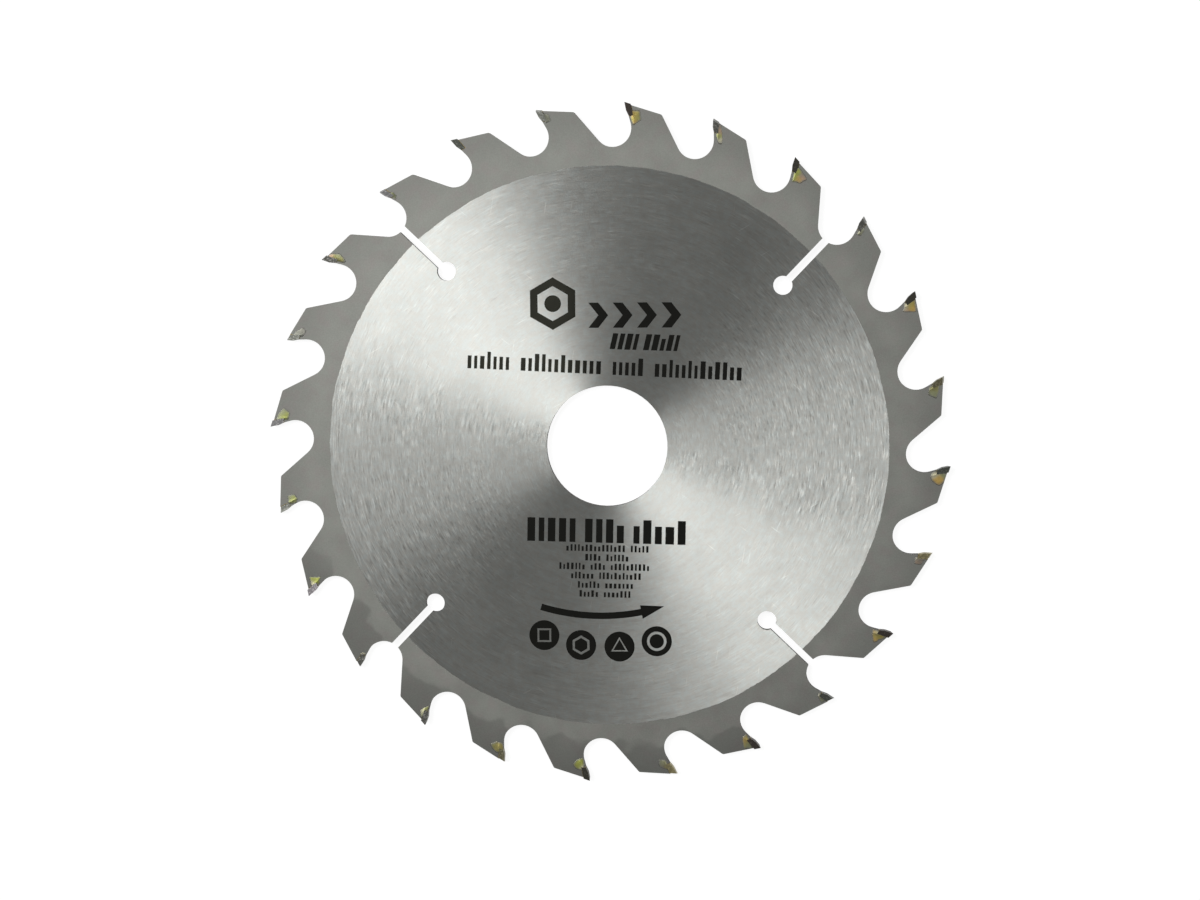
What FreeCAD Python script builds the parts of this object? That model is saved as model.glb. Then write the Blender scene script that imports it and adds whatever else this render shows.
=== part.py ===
import FreeCAD, Part
import math
import os

import Sketcher

# Circular saw blade with brazed carbide teeth, lying flat: +Z is the blade's axis and its printed side,
# +Y is up as the blade is pictured, and the origin is the bore's centre, halfway through the plate.
# Every tooth is drawn once, with its cutting point straight up, and turned to its place.

os.makedirs("parts", exist_ok=True)
doc = FreeCAD.newDocument("CircularSawBlade")

# Driving dimensions, in millimetres and degrees
dimensions = [
    ("outsideDiameter", 180, "circle through the cutting points"),
    ("boreDiameter", 32, "arbor hole"),
    ("plateThickness", 1.8, "steel plate"),
    ("kerf", 2.6, "width over the carbide at the cutting edge"),
    ("toothCount", 24, "teeth, evenly spaced"),
    ("firstToothAngle", 11.65, "first cutting point, counter-clockwise from +X"),
    ("hookAngle", 14.3, "rake face, from the radius through the cutting point"),
    ("clearanceAngle", 14.3, "tooth top, from the tangent at the cutting point"),
    ("shoulderDrop", 0.3, "steel shoulder below the line of the carbide's top"),
    ("toothLength", 9.8, "cutting point to the shoulder's back corner"),
    ("backCornerRadius", 0.7, "rounding of the shoulder's back corner"),
    ("gulletDepth", 11.7, "cutting points to the gullet's bottom"),
    ("gulletRadius", 4.9, "round bottom of the gullet"),
    ("throatAngle", 18.8, "steel below the carbide, from the radius"),
    ("footSetback", 1.25, "carbide's lower front corner behind the cutting point"),
    ("tipThickness", 1.5, "carbide, rake face to back"),
    ("tipHeight", 3.45, "carbide, cutting point to foot"),
    ("footAngle", 28.5, "slope that relieves the lower rake face"),
    ("bevelAngle", 12, "alternate bevel of the cutting edge"),
    ("radialRelief", 1.2, "carbide's sides narrow towards the foot"),
    ("tangentRelief", 2.5, "carbide's sides narrow towards the back"),
    ("brazeGap", 0.12, "braze film between carbide and seat"),
    ("teethPerSlot", 6, "teeth from one expansion slot to the next"),
    ("firstSlotTooth", 2, "first tooth whose gullet has a slot"),
    ("slotWidth", 2, "expansion slot"),
    ("slotLean", 4.5, "slot, from the radius through the cutting point"),
    ("slotLead", 0.6, "relief hole ahead of the cutting point"),
    ("reliefHoleDiameter", 5, "round end of the slot"),
    ("reliefHoleRadius", 62.5, "bore's centre to the relief hole's centre"),
    ("cutRoom", 2, "how far a cut passes beyond the blank"),
]
sheet = doc.addObject("Spreadsheet::Sheet", "Sizes")
for row, (alias, number, note) in enumerate(dimensions, start=1):
    sheet.set(f"A{row}", alias)
    sheet.set(f"B{row}", str(number))
    sheet.setAlias(f"B{row}", alias)
    sheet.set(f"C{row}", note)
doc.recompute()


def value(formula):
    """Number that a formula on the sheet's cells gives."""
    return float(sheet.evalExpression(formula))


# Straight edges of a tooth, each as the angle of its normal and its distance from the bore's centre
tipRadius = "Sizes.outsideDiameter / 2"
pitch = "360 / Sizes.toothCount"
footRadius = f"({tipRadius} - Sizes.tipHeight)"
shoulderOffset = f"({tipRadius} * cos(Sizes.clearanceAngle) - Sizes.shoulderDrop)"
shoulderBackHeight = (
    f"({shoulderOffset} - Sizes.toothLength * sin(Sizes.clearanceAngle)) / cos(Sizes.clearanceAngle)"
)

rakeFace = ("Sizes.hookAngle", f"{tipRadius} * sin(Sizes.hookAngle)")
tipBack = ("Sizes.hookAngle", f"{tipRadius} * sin(Sizes.hookAngle) + Sizes.tipThickness")
seatWall = ("Sizes.hookAngle", f"{tipBack[1]} + Sizes.brazeGap")
tipTop = ("90 - Sizes.clearanceAngle", f"{tipRadius} * cos(Sizes.clearanceAngle)")
shoulder = ("90 - Sizes.clearanceAngle", shoulderOffset)
tipFoot = ("90", footRadius)
seatLedge = ("90", f"{footRadius} - Sizes.brazeGap")
tipRelief = (
    "Sizes.footAngle",
    f"Sizes.footSetback * cos(Sizes.footAngle) + {footRadius} * sin(Sizes.footAngle)",
)
throat = (
    "Sizes.throatAngle",
    f"Sizes.footSetback * cos(Sizes.throatAngle) + {footRadius} * sin(Sizes.throatAngle)",
)

# The gullet's round touches the throat, and the back of the next tooth counter-clockwise falls from that
# tooth's back corner to the same round
gulletCentreRadius = f"{tipRadius} - Sizes.gulletDepth + Sizes.gulletRadius"
backCornerLeft = f"{shoulderBackHeight} * sin({pitch}) - Sizes.toothLength * cos({pitch})"
backCornerHeight = f"{shoulderBackHeight} * cos({pitch}) + Sizes.toothLength * sin({pitch})"


def onToothBefore(edge):
    """The same edge on the next tooth counter-clockwise, whose back faces this tooth's gullet."""
    return (f"{edge[0]} + {pitch}", edge[1])


def originFeature(body, role):
    """One of a body's own origin planes or axes."""
    return next(feature for feature in body.Origin.OriginFeatures if feature.Role == role)


def newBody(name):
    body = doc.addObject("PartDesign::Body", name)
    body.Label = name
    return body


def newSketch(body, name, turn="0"):
    """Sketch on the blade's middle plane, turned about the bore's centre."""
    sketch = body.newObject("Sketcher::SketchObject", name)
    sketch.AttachmentSupport = [(originFeature(body, "XY_Plane"), "")]
    sketch.MapMode = "FlatFace"
    sketch.setExpression(
        "AttachmentOffset", f"placement(vector(0; 0; 0); rotation(vector(0; 0; 1); ({turn}) * 1 deg))"
    )
    return sketch


def constrain(sketch, name, formula, *terms):
    """Adds one dimension to a sketch and binds it to a formula on the sheet."""
    number = value(formula)
    if terms[0] == "Angle":
        number = math.radians(number)
    index = sketch.addConstraint(Sketcher.Constraint(*terms, number))
    sketch.renameConstraint(index, name)
    sketch.setExpression(f"Constraints.{name}", formula)


def isSized(edge):
    """Whether an edge has formulas of its own. Otherwise it holds numbers, and its neighbours place it."""
    return isinstance(edge[0], str)


def placeOf(edge):
    """Angle of an edge's normal, in radians, and its distance from the bore's centre."""
    angle, offset = (value(edge[0]), value(edge[1])) if isSized(edge) else edge
    return math.radians(angle), offset


def crossing(edge, other):
    """Point where two edges meet."""
    angle, offset = placeOf(edge)
    otherAngle, otherOffset = placeOf(other)
    spread = math.sin(otherAngle - angle)
    x = (offset * math.sin(otherAngle) - otherOffset * math.sin(angle)) / spread
    y = (otherOffset * math.cos(angle) - offset * math.cos(otherAngle)) / spread
    return FreeCAD.Vector(x, y, 0)


def drawOutline(sketch, edges):
    """Closed outline along straight edges, given counter-clockwise as (name, edge, rounding of its end).
    Gives back the numbers of the sketch's lines and roundings by name."""
    count = len(edges)
    corners = [crossing(edges[i][1], edges[(i + 1) % count][1]) for i in range(count)]
    starts = [corners[i - 1] for i in range(count)]
    ends = list(corners)
    arcs = {}
    lines = {name: i for i, (name, edge, rounding) in enumerate(edges)}
    roundings = {}
    for i, (name, edge, rounding) in enumerate(edges):
        if rounding is None:
            continue
        corner = corners[i]
        along = (corner - corners[i - 1]).normalize()
        onward = (corners[(i + 1) % count] - corner).normalize()
        turn = math.atan2(along.x * onward.y - along.y * onward.x, along.dot(onward))
        radius = value(rounding)
        setback = radius * math.tan(abs(turn) / 2)
        ends[i] = corner - along * setback
        starts[(i + 1) % count] = corner + onward * setback
        side = math.copysign(1, turn)
        centre = ends[i] + FreeCAD.Vector(-along.y, along.x, 0) * radius * side
        first = math.atan2(ends[i].y - centre.y, ends[i].x - centre.x)
        low, high = (first, first + turn) if turn > 0 else (first + turn, first)
        arcs[i] = (Part.ArcOfCircle(Part.Circle(centre, FreeCAD.Vector(0, 0, 1), radius), low, high), side)
    for start, end in zip(starts, ends):
        sketch.addGeometry(Part.LineSegment(start, end), False)
    for i, (name, edge, rounding) in enumerate(edges):
        nextLine = (i + 1) % count
        if rounding is None:
            sketch.addConstraint(Sketcher.Constraint("Coincident", i, 2, nextLine, 1))
            continue
        arc, side = arcs[i]
        index = sketch.addGeometry(arc, False)
        roundings[name] = index
        before, after = (1, 2) if side > 0 else (2, 1)
        sketch.addConstraint(Sketcher.Constraint("Tangent", i, 2, index, before))
        sketch.addConstraint(Sketcher.Constraint("Tangent", index, after, nextLine, 1))
        constrain(sketch, f"{name}Rounding", rounding, "Radius", index)
    for i, (name, edge, rounding) in enumerate(edges):
        if not isSized(edge):
            continue
        direction = ends[i] - starts[i]
        angle, offset = placeOf(edge)
        quarter = "+ 90" if direction.y * math.cos(angle) > direction.x * math.sin(angle) else "- 90"
        constrain(sketch, f"{name}Angle", f"{edge[0]} {quarter}", "Angle", i)
        constrain(sketch, f"{name}Offset", edge[1], "Distance", -1, 1, i)
    return lines, roundings


def pad(body, sketch, name, thickness):
    """Solid on both sides of the middle plane."""
    feature = body.newObject("PartDesign::Pad", name)
    feature.Profile = sketch
    feature.SideType = "Symmetric"
    feature.setExpression("Length", thickness)
    return feature


def cutThrough(body, sketch, name):
    """Pocket through the whole plate, both ways from the middle plane."""
    feature = body.newObject("PartDesign::Pocket", name)
    feature.Profile = sketch
    feature.SideType = "Symmetric"
    feature.Type = "ThroughAll"
    return feature


def turnToTooth(body, index):
    """Turns a body drawn with the cutting point straight up to the place of one tooth."""
    angle = f"(Sizes.firstToothAngle - 90 + {index} * {pitch}) * 1 deg"
    body.setExpression("Placement", f"placement(vector(0; 0; 0); rotation(vector(0; 0; 1); {angle}))")


def toothBackPlace():
    """The next tooth's back as numbers: through that tooth's back corner, and tangent to the gullet's round."""
    throatAngle, throatOffset = placeOf(throat)
    radius = value("Sizes.gulletRadius")
    reach = value(gulletCentreRadius)
    polar = throatAngle + math.acos((throatOffset - radius) / reach)
    centre = FreeCAD.Vector(reach * math.cos(polar), reach * math.sin(polar), 0)
    corner = FreeCAD.Vector(-value(backCornerLeft), value(backCornerHeight), 0)
    toCentre = centre - corner
    angle = math.atan2(toCentre.y, toCentre.x) + math.acos(radius / toCentre.Length)
    return math.degrees(angle), corner.x * math.cos(angle) + corner.y * math.sin(angle)


def makeBladeBody():
    """Steel plate: blank with its bore, tooth gaps with the carbide seats, and expansion slots."""
    body = newBody("blade_body")
    blankSketch = newSketch(body, "BlankSketch")
    origin = FreeCAD.Vector(0, 0, 0)
    axis = FreeCAD.Vector(0, 0, 1)
    circles = [("blankRadius", tipRadius), ("boreRadius", "Sizes.boreDiameter / 2")]
    for index, (name, formula) in enumerate(circles):
        blankSketch.addGeometry(Part.Circle(origin, axis, value(formula)), False)
        blankSketch.addConstraint(Sketcher.Constraint("Coincident", index, 3, -1, 1))
        constrain(blankSketch, name, formula, "Radius", index)
    pad(body, blankSketch, "Blank", "Sizes.plateThickness")

    gapSketch = newSketch(body, "ToothGapSketch")
    lines, roundings = drawOutline(gapSketch, [
        ("throat", throat, None),
        ("seatLedge", seatLedge, None),
        ("seatWall", seatWall, None),
        ("outside", (f"90 + {pitch} / 2", f"{tipRadius} + Sizes.cutRoom"), None),
        ("beforeTip", onToothBefore(("180", "Sizes.cutRoom")), None),
        ("shoulder", onToothBefore(shoulder), "Sizes.backCornerRadius"),
        ("toothBack", toothBackPlace(), "Sizes.gulletRadius"),
    ])
    corner = FreeCAD.Vector(-value(backCornerLeft), value(backCornerHeight), 0)
    cornerPoint = gapSketch.addGeometry(Part.Point(corner), True)
    gapSketch.addConstraint(Sketcher.Constraint("PointOnObject", cornerPoint, 1, lines["toothBack"]))
    constrain(gapSketch, "backCornerLeft", backCornerLeft, "DistanceX", cornerPoint, 1, -1, 1)
    constrain(gapSketch, "backCornerHeight", backCornerHeight, "DistanceY", -1, 1, cornerPoint, 1)
    constrain(gapSketch, "gulletCentre", gulletCentreRadius, "Distance", -1, 1, roundings["toothBack"], 3)
    gap = cutThrough(body, gapSketch, "ToothGap")
    doc.recompute()
    gaps = body.newObject("PartDesign::PolarPattern", "ToothGaps")
    gaps.Originals = [gap]
    gaps.Axis = (originFeature(body, "Z_Axis"), [""])
    gaps.Angle = 360
    gaps.setExpression("Occurrences", "Sizes.toothCount")
    body.Tip = gaps
    doc.recompute()

    slotTurn = f"Sizes.firstSlotTooth * {pitch}"
    slotOffset = "Sizes.reliefHoleRadius * sin(Sizes.slotLean - Sizes.slotLead)"
    slotSketch = newSketch(body, "SlotSketch", slotTurn)
    drawOutline(slotSketch, [
        ("slotEnd", ("90 + Sizes.slotLead", "Sizes.reliefHoleRadius"), None),
        ("slotFront", ("Sizes.slotLean", f"{slotOffset} + Sizes.slotWidth / 2"), None),
        ("slotMouth", ("90", footRadius), None),
        ("slotRear", ("Sizes.slotLean", f"{slotOffset} - Sizes.slotWidth / 2"), None),
    ])
    slot = cutThrough(body, slotSketch, "Slot")

    holeSketch = newSketch(body, "ReliefHoleSketch", f"{slotTurn} + Sizes.slotLead")
    holeCentre = FreeCAD.Vector(0, value("Sizes.reliefHoleRadius"), 0)
    holeSketch.addGeometry(Part.Circle(holeCentre, axis, value("Sizes.reliefHoleDiameter / 2")), False)
    holeSketch.addConstraint(Sketcher.Constraint("PointOnObject", 0, 3, -2))
    constrain(holeSketch, "fromBore", "Sizes.reliefHoleRadius", "DistanceY", -1, 1, 0, 3)
    constrain(holeSketch, "holeRadius", "Sizes.reliefHoleDiameter / 2", "Radius", 0)
    hole = cutThrough(body, holeSketch, "ReliefHole")
    doc.recompute()

    slots = body.newObject("PartDesign::PolarPattern", "ExpansionSlots")
    slots.Originals = [slot, hole]
    slots.Axis = (originFeature(body, "Z_Axis"), [""])
    slots.Mode = "Spacing"
    slots.setExpression("Offset", f"Sizes.teethPerSlot * {pitch} * 1 deg")
    slots.setExpression("Occurrences", "floor(Sizes.toothCount / Sizes.teethPerSlot)")
    body.Tip = slots
    turnToTooth(body, 0)
    return body


def grind(body, name, height, rotation):
    """Removes what lies beyond a ground plane through the tip's corner at a height above the middle."""
    cutter = body.newObject("PartDesign::SubtractiveBox", name)
    reach = "(Sizes.tipHeight + Sizes.kerf) * 2"
    for side in ("Length", "Width", "Height"):
        cutter.setExpression(side, reach)
    corner = f"placement(vector(0; {tipRadius}; {height}); {rotation})"
    centred = f"placement(vector(-{reach} / 2; -{reach} / 2; 0); rotation(vector(0; 0; 1); 0 deg))"
    cutter.setExpression("Placement", f"{corner} * {centred}")


def makeCarbideTip(index):
    """Carbide tip: rake face with relieved foot, tapered sides and a top bevelled to one side in turn."""
    body = newBody(f"carbide_tip_{index + 1:02d}")
    sketch = newSketch(body, f"TipSketch{index + 1:02d}")
    drawOutline(sketch, [
        ("rakeFace", rakeFace, None),
        ("footRelief", tipRelief, None),
        ("foot", tipFoot, None),
        ("back", tipBack, None),
        ("top", tipTop, None),
    ])
    pad(body, sketch, f"TipBlank{index + 1:02d}", "Sizes.kerf")
    # The point stands on the printed side of every second tooth, and on the far side of the others
    pointSide = 1 if index % 2 else -1
    lean = "rotation(vector(1; 0; 0); Sizes.radialRelief * 1 deg)"
    nearTurn = "rotation(vector(0; 1; 0); Sizes.tangentRelief * 1 deg)"
    farTurn = "rotation(vector(0; 1; 0); (180 - Sizes.tangentRelief) * 1 deg)"
    topTurn = "rotation(vector(0; 0; 1); -Sizes.clearanceAngle * 1 deg)"
    topBevel = f"rotation(vector(1; 0; 0); (-90 - {pointSide} * Sizes.bevelAngle) * 1 deg)"
    grind(body, f"NearSide{index + 1:02d}", "Sizes.kerf / 2", f"{nearTurn} * {lean}")
    grind(body, f"FarSide{index + 1:02d}", "-Sizes.kerf / 2", f"{farTurn} * {lean}")
    grind(body, f"TopBevel{index + 1:02d}", f"{pointSide} * Sizes.kerf / 2", f"{topTurn} * {topBevel}")
    turnToTooth(body, index)
    return body


def makeBrazeJoint(index):
    """Braze film that fills the seat behind and below one tip, flush with the plate."""
    body = newBody(f"braze_joint_{index + 1:02d}")
    sketch = newSketch(body, f"BrazeSketch{index + 1:02d}")
    drawOutline(sketch, [
        ("throat", throat, None),
        ("ledge", seatLedge, None),
        ("wall", seatWall, None),
        ("shoulder", shoulder, None),
        ("tipBack", tipBack, None),
        ("tipFoot", tipFoot, None),
    ])
    pad(body, sketch, f"Braze{index + 1:02d}", "Sizes.plateThickness")
    turnToTooth(body, index)
    return body


subParts = [makeBladeBody()]
for tooth in range(int(value("Sizes.toothCount"))):
    subParts.append(makeCarbideTip(tooth))
    subParts.append(makeBrazeJoint(tooth))
doc.recompute()

# Nothing is written unless every object was rebuilt and every sub-part is a sound solid
for item in doc.Objects:
    if "Invalid" in item.State or "Error" in item.State:
        raise RuntimeError(f"{item.Name} wasn't rebuilt: {item.State}")
    if item.TypeId == "Sketcher::SketchObject" and not item.FullyConstrained:
        raise RuntimeError(f"{item.Name} isn't fully constrained")
for part in subParts:
    if part.Shape.isNull() or not part.Shape.isValid() or len(part.Shape.Solids) != 1:
        raise RuntimeError(f"{part.Label} isn't one valid solid")
for part in subParts:
    part.Shape.exportStep(f"parts/{part.Label}.step")
print(f"{len(subParts)} sub-parts, blade body {subParts[0].Shape.Volume:.1f} mm3")
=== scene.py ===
import math

import bpy
import numpy as np
from mathutils import Matrix, Vector


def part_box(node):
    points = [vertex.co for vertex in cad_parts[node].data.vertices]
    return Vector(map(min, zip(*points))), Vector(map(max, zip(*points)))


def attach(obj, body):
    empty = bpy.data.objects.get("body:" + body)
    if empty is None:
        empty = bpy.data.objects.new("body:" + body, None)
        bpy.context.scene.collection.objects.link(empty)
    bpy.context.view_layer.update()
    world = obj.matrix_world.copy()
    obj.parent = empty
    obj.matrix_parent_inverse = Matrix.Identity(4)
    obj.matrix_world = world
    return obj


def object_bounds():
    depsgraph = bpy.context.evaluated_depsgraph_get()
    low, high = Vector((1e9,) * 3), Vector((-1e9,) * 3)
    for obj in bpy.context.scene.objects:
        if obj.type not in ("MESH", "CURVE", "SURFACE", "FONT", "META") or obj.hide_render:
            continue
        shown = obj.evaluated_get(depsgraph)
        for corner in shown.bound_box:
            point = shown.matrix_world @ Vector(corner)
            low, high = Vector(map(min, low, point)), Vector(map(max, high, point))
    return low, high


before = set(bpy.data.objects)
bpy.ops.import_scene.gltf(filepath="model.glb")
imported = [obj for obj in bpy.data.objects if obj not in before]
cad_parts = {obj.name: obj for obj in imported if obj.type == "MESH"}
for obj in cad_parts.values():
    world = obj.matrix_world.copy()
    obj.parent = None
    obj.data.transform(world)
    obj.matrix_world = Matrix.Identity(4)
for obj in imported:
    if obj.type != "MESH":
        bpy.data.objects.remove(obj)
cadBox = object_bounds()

millimetre = 0.001
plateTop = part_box("blade_body")[1].z / millimetre  # half the plate's thickness
random = np.random.default_rng(24)


# Shader maths: a Wire holds one socket, and an expression on wires adds its Math nodes
class Wire:
    def __init__(self, graph, socket):
        self.graph = graph
        self.socket = socket

    def math(self, operation, *values):
        return self.graph.add("ShaderNodeMath", {"operation": operation}, dict(enumerate(values)))

    def __add__(self, other):
        return self.math("ADD", self, other)

    __radd__ = __add__

    def __sub__(self, other):
        return self.math("SUBTRACT", self, other)

    def __rsub__(self, other):
        return self.math("SUBTRACT", other, self)

    def __mul__(self, other):
        return self.math("MULTIPLY", self, other)

    __rmul__ = __mul__

    def __truediv__(self, other):
        return self.math("DIVIDE", self, other)

    def __rtruediv__(self, other):
        return self.math("DIVIDE", other, self)

    def __pow__(self, other):
        return self.math("POWER", self, other)

    def __abs__(self):
        return self.math("ABSOLUTE", self)

    def __lt__(self, other):
        return self.math("LESS_THAN", self, other)

    def __gt__(self, other):
        return self.math("GREATER_THAN", self, other)

    # 0 below low, 1 above high, and a smooth step between them
    def between(self, low, high):
        values = {0: self, 1: low, 2: high}
        return self.graph.add("ShaderNodeMapRange", {"interpolation_type": "SMOOTHSTEP"}, values)


class Graph:
    def __init__(self, tree):
        self.tree = tree
        self.tree.nodes.clear()

    # Any node: its type, its settings, the values or wires of its sockets, and which output is wanted
    def add(self, kind, settings=None, values=None, output=0):
        node = self.tree.nodes.new(kind)
        for name, setting in (settings or {}).items():
            setattr(node, name, setting)
        for name, value in (values or {}).items():
            if isinstance(value, Wire):
                self.tree.links.new(value.socket, node.inputs[name])
            else:
                node.inputs[name].default_value = value
        return Wire(self, node.outputs[output]) if node.outputs else None

    # Object coordinates in millimetres
    def place(self):
        here = self.add("ShaderNodeTexCoord", output="Object")
        return self.add("ShaderNodeVectorMath", {"operation": "SCALE"}, {0: here, "Scale": 1 / millimetre})

    def split(self, vector):
        node = self.add("ShaderNodeSeparateXYZ", None, {0: vector}).socket.node
        return [Wire(self, output) for output in node.outputs]

    def join(self, x, y, z):
        return self.add("ShaderNodeCombineXYZ", None, {0: x, 1: y, 2: z})

    # Noise from 0 to 1 with a mean of about 0.5; look gives its scale, detail and roughness
    def noise(self, vector, look):
        values = {"Vector": vector, "Scale": look.get("scale", 1.0)}
        values.update({"Detail": look["detail"], "Roughness": look["roughness"]})
        return self.add("ShaderNodeTexNoise", None, values)

    # Colour a where the mask is 0, colour b where it is 1
    def mix(self, mask, a, b):
        return self.add("ShaderNodeMix", {"data_type": "RGBA"}, {0: mask, 6: a, 7: b}, 2)

    # Colour or vector times a number
    def tint(self, colour, strength):
        values = {0: colour[:3] if isinstance(colour, tuple) else colour, "Scale": strength}
        return self.add("ShaderNodeVectorMath", {"operation": "SCALE"}, values)

    def bump(self, height, distance, normal=None):
        values = {"Height": height, "Distance": distance * millimetre}
        if normal is not None:
            values["Normal"] = normal
        return self.add("ShaderNodeBump", None, values)

    def surface(self, colour, roughness, normal=None, metallic=1.0, others=None):
        values = {"Base Color": colour, "Roughness": roughness, "Metallic": metallic, **(others or {})}
        if normal is not None:
            values["Normal"] = normal
        return self.add("ShaderNodeBsdfPrincipled", None, values)

    # Shader a where the mask is 0, shader b where it is 1
    def mixShaders(self, mask, a, b):
        return self.add("ShaderNodeMixShader", None, {0: mask, 1: a, 2: b})

    def finish(self, shader):
        self.add("ShaderNodeOutputMaterial", None, {"Surface": shader})


def newMaterial(name):
    material = bpy.data.materials.new(name)
    material.use_nodes = True
    return material, Graph(material.node_tree)


def wear(node, material):
    for slot in node.material_slots:
        slot.material = material


# Camera: where the blade is looked down on from, in metres, and its two small tilts in degrees
camera = {
    "place": (0.04962, 0.05824, 0.61455), "tiltX": -5.5156, "tiltY": 4.7706,
    "lens": 70.37, "sensor": 36, "near": 0.01, "far": 20,
}


def placeCamera():
    lens = bpy.data.cameras.new("camera")
    lens.lens = camera["lens"]
    lens.sensor_width = camera["sensor"]
    lens.clip_start = camera["near"]
    lens.clip_end = camera["far"]
    eye = bpy.data.objects.new("camera", lens)
    tiltX = Matrix.Rotation(math.radians(camera["tiltX"]), 4, "X")
    tiltY = Matrix.Rotation(math.radians(camera["tiltY"]), 4, "Y")
    eye.matrix_world = Matrix.Translation(camera["place"]) @ tiltX @ tiltY
    bpy.context.scene.collection.objects.link(eye)
    bpy.context.scene.camera = eye


placeCamera()
print("camera placed")

# Studio: azimuths are counter-clockwise from +X, zenith angles from straight up, both in degrees
studio = {
    "softboxes": [
        {"name": "keySoftbox", "azimuth": 150, "zenith": 36, "distance": 1.0, "size": 0.56, "power": 5.6},
        {"name": "sideSoftbox", "azimuth": 3, "zenith": 44, "distance": 1.5, "size": 0.80, "power": 5.0},
    ],
    "worldColour": (1.0, 1.0, 0.985, 1),
    "worldStrength": 0.155,
    "white": (1, 1, 1, 1),
    "floorSize": 6.0,
    "floorColour": (0.86, 0.86, 0.86, 1),
    "floorGlow": 1.19,
    "floorLit": 0.25,  # how much of the floor's own light and shadow the camera sees
}


def placeSoftbox(box):
    lamp = bpy.data.lights.new(box["name"], "AREA")
    lamp.shape = "SQUARE"
    lamp.size = box["size"]
    lamp.energy = box["power"]
    azimuth, zenith = math.radians(box["azimuth"]), math.radians(box["zenith"])
    level = math.sin(zenith)
    away = Vector((math.cos(azimuth) * level, math.sin(azimuth) * level, math.cos(zenith)))
    holder = bpy.data.objects.new(box["name"], lamp)
    holder.location = away * box["distance"]
    holder.rotation_euler = away.to_track_quat("Z", "Y").to_euler()
    bpy.context.scene.collection.objects.link(holder)


# The world lights evenly, and is white to the camera alone
def lightWorld():
    world = bpy.data.worlds.new("studioWorld")
    bpy.context.scene.world = world
    world.use_nodes = True
    graph = Graph(world.node_tree)
    seen = graph.add("ShaderNodeLightPath", None, None, "Is Camera Ray")
    light = graph.add("ShaderNodeBackground", None, {0: studio["worldColour"], 1: studio["worldStrength"]})
    white = graph.add("ShaderNodeBackground", None, {0: studio["white"], 1: 1.0})
    graph.add("ShaderNodeOutputWorld", None, {0: graph.mixShaders(seen, light, white)})


# Floor: a pale square under the teeth. What the camera, a mirror or glass sees of it is mostly white
# glow, and the rest is its own light, which keeps the shadow
def layFloor():
    half = studio["floorSize"] / 2
    level = cadBox[0].z
    corners = [(-half, -half, level), (half, -half, level), (half, half, level), (-half, half, level)]
    mesh = bpy.data.meshes.new("floor")
    mesh.from_pydata(corners, [], [(0, 1, 2, 3)])
    floor = bpy.data.objects.new("floor", mesh)
    bpy.context.scene.collection.objects.link(floor)
    material, graph = newMaterial("floorWhite")
    rays = graph.add("ShaderNodeLightPath").socket.node
    seen = Wire(graph, rays.outputs["Is Camera Ray"])
    mirrored = Wire(graph, rays.outputs["Is Glossy Ray"])
    passed = Wire(graph, rays.outputs["Is Transmission Ray"])
    shown = (seen + mirrored + passed) > 0.5
    plain = graph.add("ShaderNodeBsdfDiffuse", None, {"Color": studio["floorColour"]})
    shining = {"Color": studio["white"], "Strength": studio["floorGlow"]}
    glow = graph.add("ShaderNodeEmission", None, shining)
    graph.finish(graph.mixShaders(shown * (1 - studio["floorLit"]), plain, glow))
    floor.data.materials.append(material)


for box in studio["softboxes"]:
    placeSoftbox(box)
lightWorld()
layFloor()
bpy.context.scene.view_settings.view_transform = "Standard"
print("studio lit")

# Steel plate: a disc ground in circles, inside a dull toothed ring. Lengths are in millimetres, and a
# pair of numbers is where a mask starts and where it is full
disc = {
    "radius": 73.95,
    "down": 0.5,  # the disc's centre lies this far below the bore's
    "raggedness": 1.3,
    "softEdge": (-0.06, 0.06),
    "colour": (0.70, 0.70, 0.66, 1),
    "coolColour": (0.675, 0.70, 0.675, 1),
    "cool": (0.66, 0.86),
    "coolStrokes": 0.5,
    "roughness": 0.48,
    "anisotropy": 0.95,
    "acrossStrokes": 0.25,  # quarter turn, so that the gloss spreads across the grinding marks
    "bump": 0.004,
    "crowding": (34, 50),  # radii over which more marks come to a turn
    "gaining": (28, 58),  # radii over which the marks gain strength
    "shallow": 0.45,
    "deepening": 0.65,
    "deepLine": (0.992, 0.126),  # the strokes are deepest in two sectors along this direction
    "deepSector": (0.8, 0.97),
    "chatterLine": (0.914, 0.407),  # and the wheel chattered in two along this one
    "chatterSector": (0.86, 0.98),
    "chatterRadius": (24, 36),
}

# Marks round the disc, read from noise on a circle: a bigger circle makes them shorter, and more outward
# units to a millimetre make them thinner. Tone, dull and tilt are how much they change the steel's shade,
# its roughness and its slope; even and patchy are their strength everywhere and in patches
marks = {
    "strokes": {"circles": (10, 17), "outward": 2.8, "shift": 0, "detail": 2.0, "roughness": 0.65,
                "tone": 0.72, "even": 0.2, "patchy": 0.85, "inside": 0.6},
    "sweeps": {"circles": (7,), "outward": 0.8, "shift": 0, "detail": 2.0, "roughness": 0.6,
               "tone": 0.25, "dull": 0.12},
    "dashes": {"circles": (18,), "outward": 3.2, "shift": 90, "detail": 1.0, "roughness": 0.5,
               "tone": 0.22, "tilt": 0.12, "even": 0.2, "patchy": 0.9, "inside": 0.3,
               "pale": (0.56, 0.68), "dark": (0.63, 0.75)},
    "flecks": {"circles": (22,), "outward": 2.2, "shift": 30, "detail": 1.0, "roughness": 0.5,
               "tone": 0.2, "tilt": 0.07, "pale": (0.56, 0.70), "dark": (0.58, 0.72)},
    "slopes": {"circles": (10, 18), "outward": 2.2, "shift": 50, "detail": 2.0, "roughness": 0.6,
               "tilt": 0.11, "even": 0.4},
    "rim": {"circles": (7,), "outward": 0, "shift": 0, "detail": 5.0, "roughness": 0.72},
}

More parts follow.
